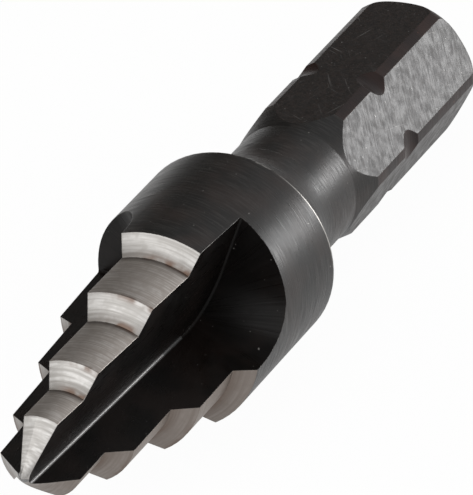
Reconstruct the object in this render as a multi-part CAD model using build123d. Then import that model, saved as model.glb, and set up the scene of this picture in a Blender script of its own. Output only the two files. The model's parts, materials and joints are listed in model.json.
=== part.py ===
"""Three-flute step drill with a hexagonal quick-change shank, machined from one steel bar.

The drill is built along +X with its point at the start, then laid down the way it comes to
rest on a table: on the rear edge of the body and on one flat at the end of the shank.
Clock angles are read by someone facing the point, from straight up and turning to the right.
"""
from build123d import *
from math import atan, cos, degrees, radians, sin, sqrt, tan
import os

# steps, point first
tip_diameter = 4.0
second_diameter = 6.0
third_diameter = 8.0
body_diameter = 9.8
point_angle = 90.0
step_angle = 100.0
body_step_angle = 107.0
tip_land = 2.38
second_land = 3.68
third_land = 3.38
body_length = 7.98

# waist turned between the body and the shank
shoulder_bevel = 0.7
shoulder_length = 3.8
waist_start_diameter = 6.4
waist_diameter = 6.24
waist_length = 2.6
flare_length = 1.6

# hexagonal shank
across_flats = 6.35
across_corners = 7.06
hex_sides = 6
shank_length = 11.66
end_round = 0.9
groove_from_flare = 3.0
groove_width = 1.5
groove_depth = 0.2

# flutes, each cut by the acute corner of an angled wheel
flute_count = 3
flute_angle = 82.2
rake_clock = 100.8
root_side = 0.31
rake_past_centre = 0.21
side_taper = 2.43
wheel_radius = 3.0
wheel_stop = 14.2
leave_angle = 76.0
root_radius = 0.12
right_angle = 90.0
full_turn = 360.0

# the axis that the flutes are indexed about leans a little from the bar's own
index_pivot = 16.8
index_lean = 1.0
index_lean_clock = 213.0


def cone_length(small, large, full_angle):
    """Axial length of a cone between two diameters."""
    return (large - small) / 2 / tan(radians(full_angle / 2))


# stations along the axis, from the point
tip_start = cone_length(0, tip_diameter, point_angle)
tip_end = tip_start + tip_land
second_start = tip_end + cone_length(tip_diameter, second_diameter, step_angle)
second_end = second_start + second_land
third_start = second_end + cone_length(second_diameter, third_diameter, step_angle)
third_end = third_start + third_land
body_start = third_end + cone_length(third_diameter, body_diameter, body_step_angle)
body_end = body_start + body_length
bevel_end = body_end + shoulder_bevel
shoulder_end = body_end + shoulder_length
waist_step = (waist_start_diameter - waist_diameter) / 2
waist_end = shoulder_end + waist_length
shank_start = waist_end + flare_length
drill_end = shank_start + shank_length
round_start = drill_end - end_round
body_radius = body_diameter / 2
corner_radius = across_corners / 2
overrun = body_radius


def clock_direction(clock):
    """Unit vector across the drill at a clock angle."""
    return Vector(0, -sin(radians(clock)), cos(radians(clock)))


def turned_bar():
    """The bar as the lathe leaves it, point to the left."""
    with BuildPart() as bar:
        with BuildSketch(Plane.XZ):
            with BuildLine():
                steps = [
                    (0, 0),
                    (tip_start, tip_diameter / 2),
                    (tip_end, tip_diameter / 2),
                    (second_start, second_diameter / 2),
                    (second_end, second_diameter / 2),
                    (third_start, third_diameter / 2),
                    (third_end, third_diameter / 2),
                    (body_start, body_radius),
                    (body_end, body_radius),
                    (bevel_end, body_radius - shoulder_bevel),
                ]
                shank = [
                    (shoulder_end, waist_start_diameter / 2),
                    (shoulder_end + waist_step, waist_diameter / 2),
                    (waist_end, waist_diameter / 2),
                    (shank_start, corner_radius),
                    (round_start, corner_radius),
                ]
                end_face = [(drill_end, corner_radius - end_round), (drill_end, 0), (0, 0)]
                Polyline(*steps)
                TangentArc(shank[0], steps[-1], tangent=(-1, 0))
                Polyline(*shank)
                TangentArc(shank[-1], end_face[0], tangent=(1, 0))
                Polyline(*end_face)
            make_face()
        revolve(axis=Axis.X)
    return bar.part


def chuck_groove():
    """Ring that turns the shallow retaining groove; it only reaches the hex corners."""
    ring_radius = (groove_width**2 / 4 + groove_depth**2) / (2 * groove_depth)
    groove_middle = shank_start + groove_from_flare + groove_width / 2
    with BuildPart() as ring:
        with BuildSketch(Plane.XZ):
            with Locations((groove_middle, corner_radius - groove_depth + ring_radius)):
                Circle(ring_radius)
        revolve(axis=Axis.X)
    return ring.part


def hexagon_envelope():
    """Everything ahead of the flats, plus the hexagonal prism with a flat facing up."""
    with BuildPart() as envelope:
        with BuildSketch(Plane.YZ.offset(shoulder_end)):
            RegularPolygon(across_flats / 2, hex_sides, major_radius=False)
        extrude(amount=drill_end)
        with BuildSketch(Plane.YZ):
            Circle(body_diameter)
        extrude(amount=shoulder_end)
    return envelope.part


def flute_wheel():
    """Swept volume of the wheel for the first flute.

    The side of the wheel leaves the back wall, its rim leaves the rake face, and where
    the wheel is lifted out the rim leaves a round run-out and a steep end face.
    """
    across = clock_direction(rake_clock)
    upward = clock_direction(rake_clock - right_angle)
    wall = clock_direction(rake_clock - flute_angle)
    path = Vector(1, 0, 0) + across * tan(radians(side_taper))
    corner = across * root_side - upward * rake_past_centre
    wheel_plane = Plane(origin=corner, x_dir=path, z_dir=path.cross(wall))
    arc_end = (
        wheel_stop + wheel_radius * sin(radians(leave_angle)),
        wheel_radius * (1 - cos(radians(leave_angle))),
    )
    clear = body_diameter
    exit_point = (arc_end[0] + (clear - arc_end[1]) / tan(radians(leave_angle)), clear)
    with BuildPart() as wheel:
        with BuildSketch(wheel_plane):
            with BuildLine():
                Line((-overrun, 0), (wheel_stop, 0))
                CenterArc((wheel_stop, wheel_radius), wheel_radius, -right_angle, leave_angle)
                Polyline(arc_end, exit_point, (-overrun, clear), (-overrun, 0))
            make_face()
        extrude(amount=body_diameter, dir=across)
        on_side = wheel.edges().filter_by(lambda edge: abs(wheel_plane.to_local_coords(edge @ 0.5).Z) < root_radius)
        cutting = on_side.filter_by(lambda edge: wheel_plane.to_local_coords(edge @ 0.5).Y < clear - root_radius)
        root = cutting.filter_by(lambda edge: wheel_plane.to_local_coords(edge @ 0.5).X > 0)
        fillet(root, root_radius)
    return wheel.part


def step_drill():
    """The finished drill, along +X from the point."""
    drill = turned_bar() & hexagon_envelope()
    drill -= chuck_groove()
    wheel = flute_wheel()
    lean_axis = Axis((index_pivot, 0, 0), clock_direction(index_lean_clock - right_angle))
    for index in range(flute_count):
        indexed = wheel.rotate(Axis.X, index * full_turn / flute_count)
        drill -= indexed.rotate(lean_axis, index_lean)
    return drill


def laid_down(drill):
    """Tilt the drill onto its rear body edge and shank end, origin under the middle of its box."""
    flat_above_round = across_flats / 2 - (corner_radius - end_round)
    flat_end = round_start + sqrt(end_round**2 - flat_above_round**2)
    rest_angle = degrees(atan((body_radius - across_flats / 2) / (flat_end - body_end)))
    resting = drill.rotate(Axis.Y, rest_angle)
    box = resting.bounding_box()
    return resting.translate(Vector(-box.center().X, -box.center().Y, -box.min.Z))


os.makedirs("parts", exist_ok=True)
export_step(laid_down(step_drill()), "parts/step_drill.step")
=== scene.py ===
import json
import logging
import math
from dataclasses import dataclass, field
from enum import Enum
from typing import Any

import bpy
from mathutils import Matrix, Vector

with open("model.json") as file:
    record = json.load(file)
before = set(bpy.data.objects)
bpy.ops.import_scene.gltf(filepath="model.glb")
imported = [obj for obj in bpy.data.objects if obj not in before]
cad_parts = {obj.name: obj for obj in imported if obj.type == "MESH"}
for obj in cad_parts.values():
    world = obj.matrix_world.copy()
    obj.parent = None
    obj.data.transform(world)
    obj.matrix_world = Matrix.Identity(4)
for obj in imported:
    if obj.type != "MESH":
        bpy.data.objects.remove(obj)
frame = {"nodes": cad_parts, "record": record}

MM = 0.001
LOG = logging.getLogger("step_drill")
SMOOTH = {"interpolation_type": "SMOOTHSTEP"}
COLOURS = {"data_type": "RGBA"}
ROUNDED = {"samples": 6}
Tree = bpy.types.NodeTree
Socket = bpy.types.NodeSocket
Triple = tuple[float, float, float]


def linear(colour: str) -> tuple[float, float, float, float]:
    """Turn an sRGB hex colour into linear light.

    Args:
        colour: six hex digits after a hash sign.

    Returns:
        Red, green, blue and alpha for a colour socket.
    """
    parts = [int(colour[i : i + 2], 16) / 255 for i in (1, 3, 5)]
    red, green, blue = (p / 12.92 if p <= 0.04045 else ((p + 0.055) / 1.055) ** 2.4 for p in parts)
    return red, green, blue, 1.0


def add_node(tree: Tree, kind: str, values: Any = (), **settings: Any) -> Socket | None:
    """Add one shader node with its settings and links.

    Args:
        tree: node tree that gets the node.
        kind: the node's type name, without its ShaderNode prefix.
        values: a socket or a plain value for each input, in order or by name or number.
        settings: the node's own settings.

    Returns:
        The first output that is in use, or None where the node has none.
    """
    node = tree.nodes.new("ShaderNode" + kind)
    for name, setting in settings.items():
        setattr(node, name, setting)
    pairs = values.items() if isinstance(values, dict) else enumerate(values)
    for place, value in pairs:
        if isinstance(value, Socket):
            tree.links.new(value, node.inputs[place])
        else:
            node.inputs[place].default_value = value
    return next((output for output in node.outputs if output.enabled), None)


class Region(Enum):
    """The surfaces of the drill that were made in different ways."""

    CONE = 0
    LAND = 1
    BODY = 2
    WAIST = 3
    FLAT = 4
    CORNER = 5
    FLUTE = 6
    ROOT = 7


@dataclass(frozen=True)
class DrillSizes:
    """Stations, radii and clock angles of the drill."""

    step_radii: tuple[float, ...] = (2.0, 3.0, 4.0, 4.9)
    step_starts: tuple[float, ...] = (2.0, 5.22, 9.74, 13.78)
    step_ends: tuple[float, ...] = (4.38, 8.9, 13.12, 21.76)
    root_end: float = 14.2
    # station where the painted highlight in the flute roots ends
    root_glint_end: float = 12.5
    root_clocks: tuple[float, float] = (18.0, 101.0)
    flat_start: float = 27.9
    shank_start: float = 29.76
    across_flats: float = 6.35
    drill_end: float = 41.424
    trailing_clock: float = 30.8
    flute_count: int = 3
    faceting: float = 0.05
    flat_faceting: float = 0.01
    facing_out: float = 0.5

    def turned_radius(self, x: float) -> tuple[float, Region]:
        """Find the radius of the stepped bar at a station.

        Args:
            x: station from the point, ahead of the rear edge of the body.

        Returns:
            The radius, and whether a cone, a land or the body lies there.
        """
        inner, end = 0.0, 0.0
        for radius, start, stop in zip(self.step_radii, self.step_starts, self.step_ends):
            if x < start:
                return inner + (x - end) / (start - end) * (radius - inner), Region.CONE
            if x <= stop:
                return radius, Region.BODY if radius == self.step_radii[-1] else Region.LAND
            inner, end = radius, stop
        return inner, Region.BODY


@dataclass
class DrillFrame:
    """Where the drill's own frame lies in the model's frame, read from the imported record."""

    sizes: DrillSizes = field(default_factory=DrillSizes)
    end: Vector = field(init=False)
    axis: Vector = field(init=False)

    def __post_init__(self) -> None:
        """Read the middle of the shank end and the axis."""
        mounts = {mount["name"]: mount for mount in frame["record"]["mounts"]}
        self.end = Vector(mounts["shank_end"]["pos_m"]) / MM
        self.axis = Vector(mounts["shank_end"]["axis"]).normalized()

    def from_model(self) -> Matrix:
        """Matrix from millimetres of the model's frame to the drill's own frame."""
        point = self.end - self.axis * self.sizes.drill_end
        lean = math.asin(-self.axis.z)
        return Matrix.Rotation(-lean, 4, "Y") @ Matrix.Translation(-point)

    def place(self, tree: Tree) -> Socket:
        """Add the nodes that give a shaded point in the drill's own frame.

        Args:
            tree: node tree that gets the nodes.

        Returns:
            A vector in millimetres.
        """
        turn = self.from_model()
        model = add_node(tree, "TexCoord").node.outputs["Object"]
        return add_node(tree, "Mapping", (model, turn.translation, turn.to_euler(), (1 / MM,) * 3))

    def clock(self, tree: Tree) -> Socket:
        """Add the nodes that give the clock angle of a shaded point.

        Args:
            tree: node tree that gets the nodes.

        Returns:
            An angle in radians, from minus half a turn to half a turn.
        """
        part = add_node(tree, "SeparateXYZ", (self.place(tree),)).node.outputs
        right = add_node(tree, "Math", (part["Y"], -1.0), operation="MULTIPLY")
        return add_node(tree, "Math", (right, part["Z"]), operation="ARCTAN2")

    def unrolled(self, tree: Tree) -> Socket:
        """Add the nodes that unroll the surface of the bar, with its seam underneath.

        Args:
            tree: node tree that gets the nodes.

        Returns:
            A vector: the station, and the length round a bar of middling radius.
        """
        radius = self.sizes.step_radii[2]
        around = add_node(tree, "Math", (self.clock(tree), radius), operation="MULTIPLY")
        along = add_node(tree, "SeparateXYZ", (self.place(tree),))
        return add_node(tree, "CombineXYZ", (along, around))


@dataclass(frozen=True)
class Finish:
    """What all finishes of the drill share: the frame for their patterns, and a name."""

    frame: DrillFrame
    name: str

    def start(self) -> tuple[bpy.types.Material, Tree, dict[str, Socket]]:
        """Make an empty material.

        Returns:
            The material, its tree and the inputs of its shader.
        """
        material = bpy.data.materials.new(self.name)
        material.use_nodes = True
        tree = material.node_tree
        return material, tree, tree.nodes["Principled BSDF"].inputs

    def grain(self, tree: Tree, size: float, detail: float = 2.0) -> Socket:
        """Add noise that is alike in all directions.

        Args:
            tree: node tree that gets the nodes.
            size: size of a grain in millimetres.
            detail: how many finer layers it has.

        Returns:
            A value from 0 to 1, around a half.
        """
        noise = {"Vector": self.frame.place(tree), "Scale": 1 / size, "Detail": detail}
        return add_node(tree, "TexNoise", noise)

    def streaks(self, tree: Tree, width: float, length: float, slant: float = 0.0) -> Socket:
        """Add noise drawn out round the bar, or on a slant to that.

        Args:
            tree: node tree that gets the nodes.
            width: width of a streak in millimetres.
            length: length of a streak in millimetres.
            slant: angle of the streaks off the round, in degrees.

        Returns:
            A value from 0 to 1, around a half.
        """
        turned = (self.frame.unrolled(tree), (0.0, 0.0, 0.0), (0.0, 0.0, math.radians(slant)))
        surface = add_node(tree, "Mapping", turned)
        stretch = (1 / width, 1 / length, 1.0)
        drawn = add_node(tree, "VectorMath", (surface, stretch), operation="MULTIPLY")
        return add_node(tree, "TexNoise", {"Vector": drawn, "Scale": 1.0, "Detail": 3.0})

    def edge(self, tree: Tree, normal: Socket) -> Socket:
        """Find the edges.

        Args:
            tree: node tree that gets the nodes.
            normal: a normal with its edges rounded off.

        Returns:
            A value that is 1 on an edge and 0 away from it.
        """
        flat = add_node(tree, "NewGeometry").node.outputs["Normal"]
        both = add_node(tree, "VectorMath", (normal, flat), operation="DOT_PRODUCT")
        # the cosine of the angle between the two normals falls from 1 as the edge comes near
        return add_node(tree, "MapRange", (both.node.outputs["Value"], 0.995, 0.88), **SMOOTH)

    def near(self, tree: Tree, station: float, full: float, none: float) -> Socket:
        """Find a ring round the bar.

        Args:
            tree: node tree that gets the nodes.
            station: middle of the ring, from the point.
            full: distance from the middle up to which it counts in full.
            none: distance at which it has faded out.

        Returns:
            A value that is 1 in the ring and 0 away from it.
        """
        along = add_node(tree, "SeparateXYZ", (self.frame.place(tree),))
        gap = add_node(tree, "Math", (along, station), operation="SUBTRACT")
        gap = add_node(tree, "Math", (gap,), operation="ABSOLUTE")
        return add_node(tree, "MapRange", (gap, full, none, 1.0, 0.0), **SMOOTH)


@dataclass(frozen=True)
class GroundSteel(Finish):
    """Hardened tool steel, ground bright round the axis with a fine wheel."""

    colour: str
    dull: str
    roughness: float
    line_spacing: float
    line_depth: float
    line_length: float = 3.0
    mottle_size: float = 0.4
    mottle_share: float = 0.6
    edge_radius: float = 0.04
    # painted shade: the colour that darkens each land in the inner corner below the next cone
    foot_painted_shade: str = "#4d453f"
    foot_width: float = 0.45
    foot_share: float = 0.6
    heat_tint: str = "#5f4433"
    heat_width: float = 0.22
    heat_share: float = 0.7
    heat_clocks: tuple[float, float] = (42.0, 16.0)
    heat_patches: float = 0.7
    # painted shade: a darker brown towards the bottom of the drill, the heights over which it comes in,
    # and its share
    underside_painted_shade: str = "#756961"
    underside_shade_heights: tuple[float, float] = (0.2, -0.9)
    underside_shade_share: float = 0.75

    def build(self) -> bpy.types.Material:
        """Make the material: fine rings of light and shade, brown tints, and a brownish painted shade
        that darkens it towards the bottom.

        Returns:
            The finished material.
        """
        material, tree, shader = self.start()
        # the grit leaves lines 0.02 mm apart: they are drawn coarser so that they show
        lines = self.streaks(tree, self.line_spacing, self.line_length)
        mottle = self.grain(tree, self.mottle_size, 4.0)
        share = add_node(tree, "MapRange", (lines, 0.34, 0.64), **SMOOTH)
        ends = {6: linear(self.dull), 7: linear(self.colour)}
        ground = add_node(tree, "Mix", {0: share, **ends}, **COLOURS)
        patch = add_node(tree, "MapRange", (mottle, 0.4, 0.66, 0.0, self.mottle_share), **SMOOTH)
        height = add_node(tree, "SeparateXYZ", (self.frame.place(tree),)).node.outputs["Z"]
        underside_painted_shade = (height, *self.underside_shade_heights, 0.0, self.underside_shade_share)
        below = add_node(tree, "MapRange", underside_painted_shade, **SMOOTH)
        layers = (
            (patch, self.dull),
            # painted shade in the inner corner at the foot of each cone
            (self.foot(tree), self.foot_painted_shade),
            (self.heat(tree), self.heat_tint),
            # painted shade on the lower side, darker towards the bottom
            (below, self.underside_painted_shade),
        )
        for amount, colour in layers:
            ground = add_node(tree, "Mix", {0: amount, 6: ground, 7: linear(colour)}, **COLOURS)
        rough = (lines, 0.3, 0.7, self.roughness + 0.06, self.roughness - 0.04)
        normal = add_node(tree, "Bevel", (self.edge_radius * MM,), **ROUNDED)
        relief = {"Height": lines, "Distance": self.line_depth * MM, "Normal": normal}
        tree.links.new(ground, shader["Base Color"])
        tree.links.new(add_node(tree, "MapRange", rough), shader["Roughness"])
        tree.links.new(add_node(tree, "Bump", relief), shader["Normal"])
        shader["Metallic"].default_value = 1.0
        return material

    def foot(self, tree: Tree) -> Socket:
        """Find the inner corner at the foot of each cone, which gets a painted shade.

        Args:
            tree: node tree that gets the nodes.

        Returns:
            The share of the painted shade.
        """
        total: Any = 0.0
        for end in self.frame.sizes.step_ends[:-1]:
            ring = self.near(tree, end, 0.02, self.foot_width)
            total = add_node(tree, "Math", (total, ring), operation="MAXIMUM")
        return add_node(tree, "Math", (total, self.foot_share), operation="MULTIPLY")

    def heat(self, tree: Tree) -> Socket:
        """Find the strips beside the step edges, near the trailing side, that grinding heated.

        Args:
            tree: node tree that gets the nodes.

        Returns:
            The share of the tint.
        """
        sizes = self.frame.sizes
        turn = math.tau / sizes.flute_count
        offset = math.radians(-sizes.trailing_clock)
        behind = add_node(tree, "Math", (self.frame.clock(tree), offset), operation="ADD")
        land = add_node(tree, "Math", (behind, turn), operation="FLOORED_MODULO")
        first, last = (turn - math.radians(clock) for clock in self.heat_clocks)
        side = add_node(tree, "MapRange", (land, first, last), **SMOOTH)
        patch = add_node(tree, "MapRange", (self.grain(tree, self.heat_patches), 0.32, 0.56), **SMOOTH)
        where = add_node(tree, "Math", (side, patch), operation="MULTIPLY")
        total: Any = 0.0
        for station in sizes.step_starts[1:-1] + sizes.step_ends[:-1]:
            ring = self.near(tree, station, 0.03, self.heat_width)
            total = add_node(tree, "Math", (total, ring), operation="MAXIMUM")
        strips = add_node(tree, "Math", (total, where), operation="MULTIPLY")
        return add_node(tree, "Math", (strips, self.heat_share), operation="MULTIPLY")


@dataclass(frozen=True)
class BlackOxide(Finish):
    """Tool steel blackened in a hot salt bath, over the marks of the tool that cut it."""

    skin: str = "#100f0e"
    patch: str = "#1f1815"
    bare: str = "#a9a6a2"
    roughness: float = 0.34
    specular: float = 0.36
    mark_spacing: float = 0.08
    mark_length: float = 1.2
    mark_slant: float = -8.0
    mark_depth: float = 0.008
    cloud_size: float = 2.2
    edge_radius: float = 0.05
    edge_wear: float = 0.5
    broken_size: float = 0.4
    nicks: float = 0.5
    nick_size: float = 0.2
    scratch_slants: tuple[float, ...] = (72.0, 118.0)
    scratch_width: float = 0.1
    scratch_length: float = 2.2
    rim_wear_and_highlight: float = 0.0
    rim_width: float = 0.1
    rim_patches: float = 0.55
    # clocks over which the rim line rises to whole and falls back: a painted highlight on the lit side
    rim_rise: tuple[float, float] = (24.0, 50.0)
    rim_fall: tuple[float, float] = (100.0, 78.0)
    polish: float = 0.0
    # where a painted highlight in the root ends, and over how long it fades
    glint_to: float = 0.0
    glint_fade: float = 0.1

    def build(self) -> bpy.types.Material:
        """Make the material: a thin dark skin with a soft sheen, rubbed grey on its edges.

        Returns:
            The finished material.
        """
        material, tree, shader = self.start()
        # a fine cut leaves marks about 0.05 mm apart: they are drawn a little coarser to show
        marks = self.streaks(tree, self.mark_spacing, self.mark_length, self.mark_slant)
        cloud = add_node(tree, "MapRange", (self.grain(tree, self.cloud_size, 3.0), 0.38, 0.66), **SMOOTH)
        skin = add_node(tree, "Mix", {0: cloud, 6: linear(self.skin), 7: linear(self.patch)}, **COLOURS)
        sheen = (marks, 0.3, 0.7, self.roughness + 0.12, self.roughness - 0.1)
        rough = add_node(tree, "MapRange", sheen)
        # past the end of the painted highlight, the root turns back to the plain dark skin and grows
        # rougher
        if self.glint_to:
            along = add_node(tree, "SeparateXYZ", (self.frame.place(tree),))
            fade = (along, self.glint_to - self.glint_fade, self.glint_to + self.glint_fade)
            beyond = add_node(tree, "MapRange", fade, **SMOOTH)
            skin = add_node(tree, "Mix", {0: beyond, 6: skin, 7: linear(BlackOxide.skin)}, **COLOURS)
            rough = add_node(tree, "Math", (beyond, 0.3, rough), operation="MULTIPLY_ADD")
        normal = add_node(tree, "Bevel", (self.edge_radius * MM,), **ROUNDED)
        worn = self.worn(tree, self.edge(tree, normal), marks)
        colour = add_node(tree, "Mix", {0: worn, 6: skin, 7: linear(self.bare)}, **COLOURS)
        relief = {"Height": marks, "Distance": self.mark_depth * MM, "Normal": normal}
        tree.links.new(colour, shader["Base Color"])
        tree.links.new(worn, shader["Metallic"])
        tree.links.new(rough, shader["Roughness"])
        tree.links.new(add_node(tree, "Bump", relief), shader["Normal"])
        shader["Specular IOR Level"].default_value = self.specular
        return material

    def worn(self, tree: Tree, edge: Socket, marks: Socket) -> Socket:
        """Find where the skin is gone: on edges, in nicks and scratches, and along the rear rim, whose
        line is partly a painted highlight.

        Args:
            tree: node tree that gets the nodes.
            edge: a value that is 1 on an edge.
            marks: the marks of the cutting tool, whose ridges are polished.

        Returns:
            The share of bare steel.
        """
        spots = self.grain(tree, self.broken_size, 3.0)
        broken = add_node(tree, "MapRange", (spots, 0.4, 0.62), **SMOOTH)
        edges = add_node(tree, "Math", (edge, broken), operation="MULTIPLY")
        edges = add_node(tree, "Math", (edges, self.edge_wear), operation="MULTIPLY")
        pits = self.grain(tree, self.nick_size, 1.0)
        nick = add_node(tree, "MapRange", (pits, 0.76, 0.84, 0.0, self.nicks), **SMOOTH)
        total = add_node(tree, "Math", (edges, nick), operation="MAXIMUM")
        for slant in self.scratch_slants:
            streak = self.streaks(tree, self.scratch_width, self.scratch_length, slant)
            scratch = add_node(tree, "MapRange", (streak, 0.74, 0.8, 0.0, self.nicks / 2), **SMOOTH)
            total = add_node(tree, "Math", (total, scratch), operation="MAXIMUM")
        rim = add_node(tree, "Math", (self.rim(tree, broken), self.rim_wear_and_highlight), operation="MULTIPLY")
        total = add_node(tree, "Math", (total, rim), operation="MAXIMUM")
        ridge = add_node(tree, "MapRange", (marks, 0.45, 0.62, 0.0, self.polish), **SMOOTH)
        return add_node(tree, "Math", (total, ridge), operation="MAXIMUM")

    def rim(self, tree: Tree, broken: Socket) -> Socket:
        """Find the bright line along the rear rim: worn in patches all round, and whole on the lit right
        as a painted highlight.

        Args:
            tree: node tree that gets the nodes.
            broken: a value that is 0 where the line is interrupted.

        Returns:
            A value that is 1 on the line.
        """
        clock = self.frame.clock(tree)
        # painted highlight: the line is whole where the side lamp lights the rim
        rise = add_node(tree, "MapRange", (clock, *map(math.radians, self.rim_rise)), **SMOOTH)
        fall = add_node(tree, "MapRange", (clock, *map(math.radians, self.rim_fall)), **SMOOTH)
        whole = add_node(tree, "Math", (rise, fall), operation="MULTIPLY")
        patchy = add_node(tree, "Math", (broken, self.rim_patches), operation="MULTIPLY")
        amount = add_node(tree, "Math", (whole, patchy), operation="MAXIMUM")
        ring = self.near(tree, self.frame.sizes.step_ends[-1], 0.03, self.rim_width)
        return add_node(tree, "Math", (ring, amount), operation="MULTIPLY")


@dataclass(frozen=True)
class ScuffedOxide(Finish):
    """Blackened rolled steel of the hexagon, frosted and scuffed by chucks and holders."""

    skin: str = "#100d0c"
    frosted: str = "#221b18"
    bare: str = "#c2c0be"
    specular: float = 0.5
    edge_radius: float = 0.04
    frost_size: float = 0.13
    frost_depth: float = 0.003
    prick_size: float = 0.16
    prick_share: float = 0.4
    rub_width: float = 0.1
    rub_length: float = 0.9
    rub_slant: float = -26.0
    smear_size: float = 0.45
    smear_roughness: tuple[float, float] = (0.48, 0.28)
    scuff_length: float = 3.4
    scuff_kinds: tuple[Triple, ...] = ((-24.0, 0.1, 0.26), (-52.0, 0.12, 0.2), (70.0, 0.08, 0.3))

    def build(self) -> bpy.types.Material:
        """Make the material: a frosty skin that flashes in low light, with slanting scuffs.

        Returns:
            The finished material.
        """
        material, tree, shader = self.start()
        frost = self.grain(tree, self.frost_size, 5.0)
        scuffs = self.scuffs(tree)
        share = add_node(tree, "MapRange", (frost, 0.35, 0.65), **SMOOTH)
        skin = add_node(tree, "Mix", {0: share, 6: linear(self.skin), 7: linear(self.frosted)}, **COLOURS)
        pricks = self.grain(tree, self.prick_size, 1.0)
        prick = add_node(tree, "MapRange", (pricks, 0.73, 0.8, 0.0, self.prick_share), **SMOOTH)
        normal = add_node(tree, "Bevel", (self.edge_radius * MM,), **ROUNDED)
        worn = add_node(tree, "Math", (prick, scuffs), operation="MAXIMUM")
        colour = add_node(tree, "Mix", {0: worn, 6: skin, 7: linear(self.bare)}, **COLOURS)
        rubs = self.streaks(tree, self.rub_width, self.rub_length, self.rub_slant)
        height = add_node(tree, "Math", (frost, rubs), operation="ADD")
        relief = {"Height": height, "Distance": self.frost_depth * MM, "Normal": normal}
        tree.links.new(colour, shader["Base Color"])
        tree.links.new(worn, shader["Metallic"])
        smear = add_node(tree, "Math", (rubs, self.grain(tree, self.smear_size, 4.0)), operation="ADD")
        rough = add_node(tree, "MapRange", (smear, 0.8, 1.2, *self.smear_roughness))
        tree.links.new(rough, shader["Roughness"])
        tree.links.new(add_node(tree, "Bump", relief), shader["Normal"])
        shader["Specular IOR Level"].default_value = self.specular
        return material

    def scuffs(self, tree: Tree) -> Socket:
        """Find the scuffs, which run near the round in a few directions.

        Args:
            tree: node tree that gets the nodes.

        Returns:
            The share of bare steel, up to about a third.
        """
        total: Any = 0.0
        for slant, width, strength in self.scuff_kinds:
            streak = self.streaks(tree, width, self.scuff_length, slant)
            scuff = add_node(tree, "MapRange", (streak, 0.65, 0.78, 0.0, strength), **SMOOTH)
            total = add_node(tree, "Math", (total, scuff), operation="MAXIMUM")
        return total


@dataclass
class StepDrill:
    """The whole drill: one bar of steel whose surfaces get their own finishes."""

    place: DrillFrame = field(default_factory=DrillFrame)
    node: str = "step_drill"

    def finishes(self) -> dict[Region, Finish]:
        """Choose the finish of each region.

        Returns:
            The finish by region.
        """
        at = self.place
        return {
            # fresh ground steel: a pale satin in fine rings, bright where it leans to the light
            Region.CONE: GroundSteel(
                at,
                "tool_steel_ground_cones",
                colour="#c6c4c1",
                dull="#a9a6a2",
                roughness=0.42,
                line_spacing=0.085,
                line_depth=0.001,
            ),
            # the same steel on the lands: greyer and smoother, with fainter rings
            Region.LAND: GroundSteel(
                at,
                "tool_steel_ground_lands",
                colour="#d0cbc6",
                dull="#b0a8a1",
                roughness=0.46,
                line_spacing=0.07,
                line_depth=0.0004,
            ),
            # oxide over a ground surface: near black, with one long soft highlight
            Region.BODY: BlackOxide(at, "black_oxide_ground_body", rim_wear_and_highlight=0.9, polish=0.03),
            # oxide over a turned surface: a little glossier, with marks square to the axis
            Region.WAIST: BlackOxide(
                at,
                "black_oxide_turned_waist",
                specular=0.42,
                mark_slant=0.0,
                rim_wear_and_highlight=0.9,
                polish=0.03,
            ),
            # oxide over rolled bar: a grainy sheet that turns pale grey where it meets a lamp
            Region.FLAT: ScuffedOxide(at, "black_oxide_scuffed_flats"),
            # oxide rubbed thin by chucks: dark brown strips, lighter at their borders
            Region.CORNER: BlackOxide(
                at,
                "black_oxide_rubbed_corners",
                skin="#190f0d",
                patch="#291a16",
                bare="#7a5649",
                specular=0.28,
                edge_radius=0.07,
                edge_wear=0.8,
            ),
            # oxide in a cut groove: the darkest surface, with hardly any sheen
            Region.FLUTE: BlackOxide(
                at,
                "black_oxide_wheel_cut_flutes",
                skin="#0a0807",
                patch="#15100e",
                specular=0.14,
                mark_slant=88.0,
                edge_wear=0.25,
            ),
            # a thin grey line in the root, a painted highlight for its glint, that stops before the
            # run-out
            Region.ROOT: BlackOxide(
                at,
                "black_oxide_painted_root_glint",
                skin="#5d5a58",
                patch="#444140",
                roughness=0.28,
                specular=0.9,
                glint_to=at.sizes.root_glint_end,
            ),
        }

    def region(self, centre: Vector, normal: Vector) -> Region:
        """Tell which surface a face belongs to.

        Args:
            centre: middle of the face in the drill's own frame.
            normal: its normal in that frame.

        Returns:
            The region.
        """
        sizes = self.place.sizes
        radius = max(math.hypot(centre.y, centre.z), sizes.faceting)
        outward = (normal.y * centre.y + normal.z * centre.z) / radius
        if centre.x > sizes.flat_start:
            on_flat = abs(outward * radius - sizes.across_flats / 2) < sizes.flat_faceting
            if on_flat and abs(normal.x) < sizes.faceting:
                return Region.FLAT
            return Region.CORNER if centre.x > sizes.shank_start else Region.WAIST
        if centre.x > sizes.step_ends[-1]:
            return Region.WAIST
        turned, region = sizes.turned_radius(centre.x)
        on_turned = abs(radius - turned) < sizes.faceting and outward > sizes.facing_out
        # the part of the normal that points round the bar is nothing on a turned surface
        if on_turned and 1 - outward**2 - normal.x**2 < sizes.faceting:
            return region
        clock = math.degrees(math.atan2(-normal.y, normal.z)) % (360 / sizes.flute_count)
        first, last = sizes.root_clocks
        return Region.ROOT if centre.x < sizes.root_end and first < clock < last else Region.FLUTE

    def dress(self) -> None:
        """Give every face of the solid the finish of its surface."""
        mesh = frame["nodes"][self.node].data
        finishes = self.finishes()
        mesh.materials.clear()
        for region in Region:
            mesh.materials.append(finishes[region].build())
        turn = self.place.from_model()
        counts = dict.fromkeys(Region, 0)
        for face in mesh.polygons:
            region = self.region(turn @ (face.center / MM), turn.to_3x3() @ face.normal)
            face.material_index = region.value
            counts[region] += 1
        for region, count in counts.items():
            LOG.info("%s: %d faces of %s", self.node, count, region.name.lower())


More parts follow.
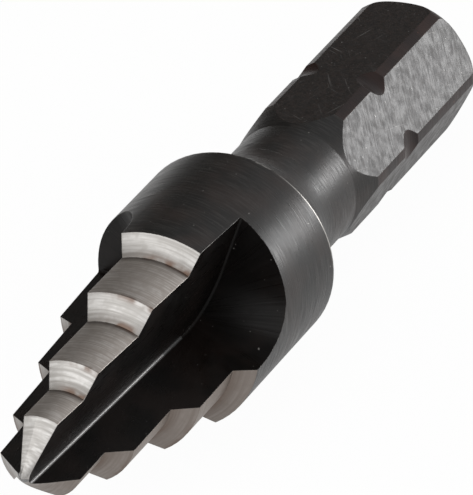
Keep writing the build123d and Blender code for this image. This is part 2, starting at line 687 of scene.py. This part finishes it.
@dataclass
class Table:
    """The plain pale table that the drill lies on."""

    width: float = 6000.0
    white: float = 0.97
    reflected_white: float = 0.48

    def build(self) -> None:
        """Lay the table top under the drill."""
        half = self.width * MM / 2
        corners = [(-half, -half, 0.0), (half, -half, 0.0), (half, half, 0.0), (-half, half, 0.0)]
        mesh = bpy.data.meshes.new("table")
        mesh.from_pydata(corners, [], [(0, 1, 2, 3)])
        mesh.materials.append(self.material())
        top = bpy.data.objects.new("table", mesh)
        bpy.context.scene.collection.objects.link(top)
        LOG.info("table: %.0f mm wide", self.width)

    def material(self) -> bpy.types.Material:
        """Matt white laminate, lifted to white where it is seen or reflected; it keeps a shadow.

        Returns:
            The material.
        """
        material = bpy.data.materials.new("white_laminate_matt")
        material.use_nodes = True
        # the lift is no lamp: it adds nothing to the light on the drill
        material.cycles.emission_sampling = "NONE"
        tree = material.node_tree
        tree.nodes.clear()
        matt = add_node(tree, "BsdfDiffuse", (linear("#f2f2f1"),))
        white = add_node(tree, "Emission", (linear("#ffffff"), 1.0))
        ray = add_node(tree, "LightPath").node.outputs
        bounced = (ray["Is Glossy Ray"], ray["Is Transmission Ray"])
        mirrored = add_node(tree, "Math", bounced, operation="MAXIMUM")
        mirrored = add_node(tree, "Math", (mirrored, self.reflected_white), operation="MULTIPLY")
        seen = add_node(tree, "Math", (ray["Is Camera Ray"], self.white), operation="MULTIPLY")
        share = add_node(tree, "Math", (mirrored, seen), operation="MAXIMUM")
        add_node(tree, "OutputMaterial", (add_node(tree, "MixShader", (share, matt, white)),))
        return material


@dataclass
class Softbox:
    """One soft lamp, aimed at the drill."""

    name: str
    towards: Triple
    distance: float
    width: float
    height: float
    brightness: float

    def build(self) -> None:
        """Place the lamp. Its power gives the same brightness whatever its size."""
        lamp = bpy.data.lights.new(self.name, "AREA")
        lamp.shape = "RECTANGLE"
        lamp.size, lamp.size_y = self.width * MM, self.height * MM
        lamp.energy = self.brightness * math.pi * lamp.size * lamp.size_y
        holder = bpy.data.objects.new(self.name, lamp)
        out = Vector(self.towards).normalized()
        holder.location = out * self.distance * MM
        holder.rotation_mode = "QUATERNION"
        holder.rotation_quaternion = (-out).to_track_quat("-Z", "Y")
        bpy.context.scene.collection.objects.link(holder)
        LOG.info("%s: brightness %.1f", self.name, self.brightness)


@dataclass
class Studio:
    """Plain soft light: a broad box over the camera, a low one beside the shank, and plain walls."""

    pale_wall: str = "#cfcfd0"
    far_wall: str = "#5a5754"
    pale_side: float = -0.35
    far_side: float = 0.5

    def lamps(self) -> list[Softbox]:
        """List the lamps, with the way from the drill to each one."""
        return [
            Softbox(
                "key_softbox",
                towards=(-0.58, 0.26, 0.77),
                distance=800.0,
                width=1000.0,
                height=850.0,
                brightness=1.5,
            ),
            Softbox(
                "side_softbox",
                towards=(0.68, -0.72, 0.13),
                distance=600.0,
                width=480.0,
                height=180.0,
                brightness=8.0,
            ),
        ]

    def build(self) -> None:
        """Put the lamps up, and fill the world with walls that are pale on the right of the drill."""
        for lamp in self.lamps():
            lamp.build()
        world = bpy.data.worlds.new("studio_walls")
        bpy.context.scene.world = world
        world.use_nodes = True
        tree = world.node_tree
        way = add_node(tree, "TexCoord")
        side = add_node(tree, "SeparateXYZ", (way,)).node.outputs["Y"]
        amount = add_node(tree, "MapRange", (side, self.pale_side, self.far_side), **SMOOTH)
        walls = {6: linear(self.pale_wall), 7: linear(self.far_wall)}
        shade = add_node(tree, "Mix", {0: amount, **walls}, **COLOURS)
        tree.links.new(shade, tree.nodes["Background"].inputs["Color"])
        LOG.info("studio: %d lamps", len(self.lamps()))


@dataclass
class Viewpoint:
    """A long lens that looks down on the drill from ahead of its point."""

    place: Triple = (-254.55, -139.35, 189.60)
    forward: Triple = (0.741417, 0.404138, -0.535699)
    upward: Triple = (0.527310, 0.142855, 0.837578)
    focal_length: float = 555.25
    sensor: float = 36.0
    clipping: tuple[float, float] = (0.01, 20.0)

    def build(self) -> None:
        """Make the camera and put it in use."""
        lens = bpy.data.cameras.new("viewpoint")
        lens.sensor_width, lens.lens = self.sensor, self.focal_length
        lens.clip_start, lens.clip_end = self.clipping
        holder = bpy.data.objects.new("viewpoint", lens)
        back, up = -Vector(self.forward), Vector(self.upward)
        turn = Matrix((up.cross(back), up, back)).transposed()
        holder.matrix_world = Matrix.Translation(Vector(self.place) * MM) @ turn.to_4x4()
        bpy.context.scene.collection.objects.link(holder)
        bpy.context.scene.camera = holder
        LOG.info("viewpoint: %.0f mm lens", self.focal_length)


def main() -> None:
    """Dress the drill, then set up the table, the light and the camera."""
    logging.basicConfig(level=logging.INFO, format="%(name)s: %(message)s")
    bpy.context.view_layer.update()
    for part in (Table(), Studio(), Viewpoint()):
        part.build()
    StepDrill().dress()
    bpy.context.scene.view_settings.view_transform = "Standard"


if __name__ == "__main__":
    main()
